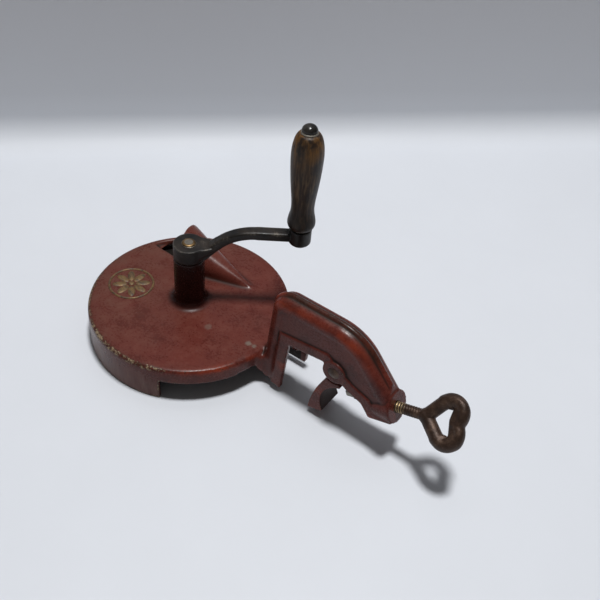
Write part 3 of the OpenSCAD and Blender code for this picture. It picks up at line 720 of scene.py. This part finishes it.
# The turned wooden grip, as shares of its length and of its largest radius
gripLook = {
    "outline": [
        (0.62, 0.0), (0.72, 0.004), (0.84, 0.022), (0.90, 0.060),
        (0.86, 0.110), (0.765, 0.175), (0.735, 0.235), (0.765, 0.320),
        (0.845, 0.430), (0.930, 0.560), (0.985, 0.690), (1.0, 0.790),
        (0.955, 0.875), (0.845, 0.945), (0.700, 0.985), (0.545, 1.0),
    ],
    "bore": 3.55 * mm,
    "steps": 72,
    "crisp": 0.9,
}


def turnedGrip(look):
    low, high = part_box("grip")
    radius = (high.x - low.x) / 2
    tall = high.z - low.z
    outline = [(wide * radius, low.z + up * tall) for wide, up in look["outline"]]
    profile = [(point.x, point.y) for point in flowing(outline, 4)]
    bore = [(look["bore"], high.z), (look["bore"], low.z)]
    bm = bmesh.new()
    turned(bm, profile + bore, gripAt, look["steps"], True)
    return toObject("turnedGrip", bm, look["crisp"])


dress(turnedGrip(gripLook), "handle", "dark_wood", wood, "grip")

# The domed cap on the pin's end
capLook = {"collar": 1.0 * mm, "chamfer": 0.3 * mm, "steps": 10, "sides": 48}


def domedCap(look):
    low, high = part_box("grip_cap")
    radius = (high.x - low.x) / 2
    foot = low.z + look["collar"]
    rise = high.z - foot
    profile = [(0, low.z), (radius * 0.94, low.z), (radius, low.z + look["chamfer"])]
    for step in range(look["steps"] + 1):
        turn = math.pi / 2 * step / look["steps"]
        profile.append((radius * math.cos(turn), foot + rise * math.sin(turn)))
    bm = bmesh.new()
    turned(bm, profile, gripAt, look["sides"])
    return toObject("domedCap", bm)


dress(domedCap(capLook), "crank", "black_iron", polishedSheenIron, "grip_cap")

# The two washers of the grip
gripWasherEdge = 0.25 * mm
for name, node in (("footWasher", "grip_washer"), ("topWasher", "grip_top_washer")):
    washer = brokenEdges(name, node, gripWasherEdge)
    dress(washer, "crank", "worn_steel", wornSteel, node)
print("crank, grip and cap dressed")

# The clamp screw: a heart-shaped loop on a threaded rod
screwLook = {
    "pitch": 2.0 * mm,
    "crest": 4.0 * mm,
    "depth": 0.62 * mm,
    "inside": 34.5 * mm,
    "outside": 21.0 * mm,
    "stub": 18.5 * mm,
    "segments": 40,
    "rings": 8,  # rings of points in each turn of the thread
    "flank": 1.7,  # steepness of the groove's sides
    "crisp": 1.2,
    "bright": 11.0 * mm,  # how far from the boss the crests are rubbed bright
    "lobe": 13.2 * mm,  # from the heart's far end to the middles of its lobes
    "eye": 10.5 * mm,  # from the heart's middle to where the opening's change ends
    "widen": 2.8 * mm,  # how far the lobes are opened up
    "beyond": 2.5 * mm,  # how far inside the lobes' middles the change begins
    "forging": {"grain": 0.42 * mm, "rounds": 8, "edgeRounds": 3, "swellRounds": 30, "keep": 1},
}
screwAxis = -Vector(joints["screw_turn"]["axis"]).normalized()  # outward
screwAt = Vector(joints["screw_turn"]["pos_m"])
alongScrew = Matrix.Translation(screwAt) @ screwAxis.to_track_quat("Z", "Y").to_matrix().to_4x4()


def threadedRod(look):
    length = look["inside"] + look["outside"]
    bm = bmesh.new()
    bmesh.ops.create_cone(bm, cap_ends=True, segments=look["segments"], radius1=look["crest"],
                          radius2=look["crest"], depth=length)
    bmesh.ops.translate(bm, verts=bm.verts, vec=(0, 0, (look["outside"] - look["inside"]) / 2))
    upright = [edge for edge in bm.edges if abs(edge.verts[0].co.z - edge.verts[1].co.z) > length / 2]
    cuts = round(length / look["pitch"] * look["rings"]) - 1
    bmesh.ops.subdivide_edges(bm, edges=upright, cuts=cuts, use_grid_fill=True)
    crest = bm.verts.layers.float.new("crest")
    for point in bm.verts:
        turn = math.atan2(point.co.y, point.co.x) / math.tau
        phase = (point.co.z / look["pitch"] - turn) % 1
        height = share(look["flank"] * abs(2 * phase - 1))  # a groove with a flat crest
        end = min(point.co.z + look["inside"], look["outside"] - point.co.z) / look["pitch"]
        height = 1 - (1 - height) * share(end)
        shrink = 1 - look["depth"] * (1 - height) / look["crest"]
        nearBoss = 1 - abs(point.co.z) / look["bright"]
        point[crest] = share(height * 2 - 1) * share(1.5 * nearBoss)
        point.co.x *= shrink
        point.co.y *= shrink
    bmesh.ops.transform(bm, matrix=alongScrew, verts=bm.verts)
    bmesh.ops.recalc_face_normals(bm, faces=bm.faces)
    return toObject("threadedRod", bm, look["crisp"])


# The heart, cut from the screw's solid and forged, with the opening between its lobes widened
def heartLoop(look):
    bm = mergedCopy("clamp_screw")
    everything = bm.verts[:] + bm.edges[:] + bm.faces[:]
    root = screwAt + screwAxis * look["stub"]
    bmesh.ops.bisect_plane(bm, geom=everything, plane_co=root, plane_no=-screwAxis, clear_outer=True)
    bmesh.ops.holes_fill(bm, edges=[edge for edge in bm.edges if edge.is_boundary], sides=0)
    piece = toObject("heartLoop", bm)
    pour(piece, look["forging"])
    toScrew = alongScrew.inverted()
    across = toScrew.to_3x3() @ Vector((0, 1, 0))
    far = max((toScrew @ point.co).z for point in piece.data.vertices)
    for point in piece.data.vertices:
        local = toScrew @ point.co
        side = abs(local.dot(across))
        inward = far - look["lobe"] - local.z  # how far inside the lobes' middles
        reach = share(1 + inward / look["lobe"]) * share((look["eye"] - side) / (0.3 * look["eye"]))
        if -look["lobe"] < inward < look["beyond"] and side < look["eye"]:
            deep = look["widen"] * (0.45 + 0.55 * share(side / (0.55 * look["eye"])))
            point.co += screwAxis * deep * reach
    return piece


rod = threadedRod(screwLook)
dress(rod, "screw", "rusty_steel", rust, "clamp_screw")
heart = heartLoop(screwLook)
dress(heart, "screw", "rusty_steel", rust)
print("screw", len(rod.data.polygons), "heart", len(heart.data.polygons), "faces")

# The riveted pin of the jaw, with blunt cones for heads
pinLook = {
    "shank": 4.0 * mm,
    "head": 4.8 * mm,
    "flat": 1.3 * mm,
    "rise": 1.7 * mm,
    "round": 0.35 * mm,
    "rim": 0.3 * mm,
    "sides": 40,
    "crisp": 0.9,
}


def rivetedPin(look):
    low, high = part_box("jaw_pin")
    half = (high.y - low.y) / 2
    foot = half - look["rise"]
    side = [
        (0, half),
        (look["flat"], half),
        (look["head"] * 0.9, foot + look["round"]),
        (look["head"], foot),
        (look["head"], foot - look["rim"]),
        (look["shank"], foot - look["rim"]),
    ]
    profile = side + [(radius, -height) for radius, height in reversed(side)]
    bm = bmesh.new()
    turned(bm, profile, Vector((0, 0, 0)), look["sides"])
    lay = Matrix.Translation(middle("jaw_pin")) @ Matrix.Rotation(math.pi / 2, 4, "X")
    bmesh.ops.transform(bm, matrix=lay, verts=bm.verts)
    return toObject("rivetedPin", bm, look["crisp"])


dress(rivetedPin(pinLook), "casting", "rusty_steel", rust, "jaw_pin")

# The slicing works under the plate
worksLook = {"discEdge": 0.5 * mm, "smallEdge": 0.3 * mm}
disc = brokenEdges("knifeDisc", "knife_disc", worksLook["discEdge"])
dress(disc, "crank", "worn_steel", iron, "knife_disc")
for node in ("knife_1", "knife_2", "knife_3"):
    coat(frame["nodes"][node], groundSteel)
for name, node in (("discWasher", "disc_washer"), ("discNut", "disc_nut")):
    piece = brokenEdges(name, node, worksLook["smallEdge"])
    dress(piece, "crank", "worn_steel", wornSteel, node)
for node in ("drive_shaft", "thrust_washer", "knife_screws", "grip_pin", "screw_point"):
    coat(frame["nodes"][node], wornSteel)
print("slicing works dressed")

# A plain gilt rosette cast on the plate
rosetteLook = {
    "east": -47.0 * mm,
    "south": 18.0 * mm,
    "ring": 17.5 * mm,
    "wire": 1.0 * mm,
    "petals": 8,
    "petal": (6.2 * mm, 3.0 * mm, 0.9 * mm),  # half length, half width and height
    "reach": 9.2 * mm,
    "eye": (2.6 * mm, 2.6 * mm, 1.1 * mm),
    "sunk": 0.25 * mm,
    "hoopSteps": 8,
    "dome": {"u_segments": 20, "v_segments": 12, "radius": 1},
}


def giltRosette(look):
    centre = Vector((shaftAt.x + look["east"], shaftAt.y - look["south"], plateTop - look["sunk"]))
    bm = bmesh.new()
    hoop = []
    for step in range(look["hoopSteps"] + 1):
        turn = math.pi * step / look["hoopSteps"]
        radius = look["ring"] + look["wire"] * math.cos(turn)
        hoop.append((radius, centre.z + look["wire"] * math.sin(turn)))
    turned(bm, hoop, centre, 64, True)
    for number in range(look["petals"]):
        turn = Matrix.Rotation(math.tau * number / look["petals"], 4, "Z")
        out = Matrix.Translation(centre) @ turn @ Matrix.Translation((look["reach"], 0, 0))
        bmesh.ops.create_uvsphere(bm, matrix=out @ Matrix.Diagonal((*look["petal"], 1)), **look["dome"])
    eye = Matrix.Translation(centre) @ Matrix.Diagonal((*look["eye"], 1))
    bmesh.ops.create_uvsphere(bm, matrix=eye, **look["dome"])
    return toObject("giltRosette", bm)


dress(giltRosette(rosetteLook), "casting", "oxide_red_paint", gilt)
print("rosette cast")

# Pale floor that turns up into a grey wall behind the object
floorLook = {
    "half": 5.0,
    "colour": (0.665, 0.69, 0.735),
    "wall": (0.60, 0.62, 0.66),
    "wallTop": (0.47, 0.47, 0.495),
    "wallAway": 0.344,  # from the origin to the wall, square to it
    "wallTurn": 135.0,  # the wall's direction from the origin, in degrees
    "wallTall": 1.6,
    "wallFade": 0.22,  # height over which the wall darkens
    "crease": 0.03,
    "creaseSteps": 8,
    "mottle": 0.975,
    "rough": 0.55,
    "shine": 0.3,
    "crisp": 0.6,
}


def paleFloor(look):
    bm = bmesh.new()
    bend = look["crease"]
    start = look["wallAway"] - bend
    profile = [(-look["half"], 0), (start, 0)]
    for step in range(1, look["creaseSteps"] + 1):
        turn = math.pi / 2 * step / look["creaseSteps"]
        profile.append((start + bend * math.sin(turn), bend - bend * math.cos(turn)))
    profile.append((look["wallAway"], look["wallTall"]))
    points = [bm.verts.new((away, -look["half"], height)) for away, height in profile]
    edges = [bm.edges.new(pair) for pair in zip(points, points[1:])]
    swept = bmesh.ops.extrude_edge_only(bm, edges=edges)["geom"]
    moved = [item for item in swept if isinstance(item, bmesh.types.BMVert)]
    bmesh.ops.translate(bm, verts=moved, vec=(0, 2 * look["half"], 0))
    aside = Matrix.Rotation(math.radians(look["wallTurn"]), 3, "Z")
    bmesh.ops.rotate(bm, verts=bm.verts, cent=(0, 0, 0), matrix=aside)
    bmesh.ops.reverse_faces(bm, faces=bm.faces)
    made = toObject("paleFloor", bm, look["crisp"])
    coat(made, paleFinish(look))


# The floor's finish, clear from behind so that it blocks no view
def paleFinish(look):
    f = Finish("paleFloor")
    drift = f.noise(9.0, 5.0, 0.6).span(0.3, 0.7)
    height = f.axes(f.place)[2]
    colour = f.mix(drift, [v * look["mottle"] for v in look["colour"]], look["colour"])
    wall = f.mix(height.span(0, look["wallFade"]), look["wall"], look["wallTop"])
    f.set("Base Color", f.mix(height.span(0.0, 1.8 * look["crease"]), colour, wall))
    f.set("Roughness", look["rough"])
    f.set("Specular IOR Level", look["shine"])
    behind = f.node("ShaderNodeNewGeometry", out="Backfacing")
    clear = f.node("ShaderNodeBsdfTransparent")
    oneSided = f.node("ShaderNodeMixShader", {}, {0: behind, 1: Wire(f, f.shader.outputs[0]), 2: clear})
    f.feed(f.tree.nodes["Material Output"].inputs["Surface"], oneSided)
    return f.material


paleFloor(floorLook)

# Soft light from above, and an even sky
lightLook = {"place": (0.10, 0.0, 2.2), "width": 0.34, "power": 43.0, "sky": (0.095, 0.093, 0.090)}


def studioLight(look):
    lamp = bpy.data.lights.new("ceilingLamp", "AREA")
    lamp.shape = "DISK"
    lamp.size = look["width"]
    lamp.energy = look["power"]
    held = bpy.data.objects.new("ceilingLamp", lamp)
    held.location = look["place"]
    scene.collection.objects.link(held)
    world = bpy.data.worlds.new("evenSky")
    world.use_nodes = True
    sky = world.node_tree.nodes["Background"]
    sky.inputs["Color"].default_value = (*look["sky"], 1.0)
    scene.world = world


studioLight(lightLook)

# The photograph's camera: its place from the shaft at floor level, and its axes
cameraLook = {
    "fromShaft": (329.3 * mm, -355.3 * mm, 484.7 * mm),
    "right": (0.80277, 0.59161, 0.07456),
    "up": (-0.44907, 0.51755, 0.72834),
    "focal": 822.0,  # in pixels of a 600-pixel picture
    "picture": 600.0,
    "sensor": 36.0,
    "nearest": 0.01,
}


def photoCamera(look):
    lens = bpy.data.cameras.new("photoCamera")
    lens.sensor_width = look["sensor"]
    lens.lens = look["focal"] / look["picture"] * look["sensor"]
    lens.clip_start = look["nearest"]
    held = bpy.data.objects.new("photoCamera", lens)
    right = Vector(look["right"]).normalized()
    up = Vector(look["up"])
    up = (up - right * up.dot(right)).normalized()
    turn = Matrix((right, up, right.cross(up))).transposed().to_4x4()
    place = Vector(look["fromShaft"]) + Vector((shaftAt.x, shaftAt.y, 0))
    held.matrix_world = Matrix.Translation(place) @ turn
    scene.collection.objects.link(held)
    scene.camera = held


photoCamera(cameraLook)
scene.view_settings.view_transform = "Standard"
print("floor, light and camera set")
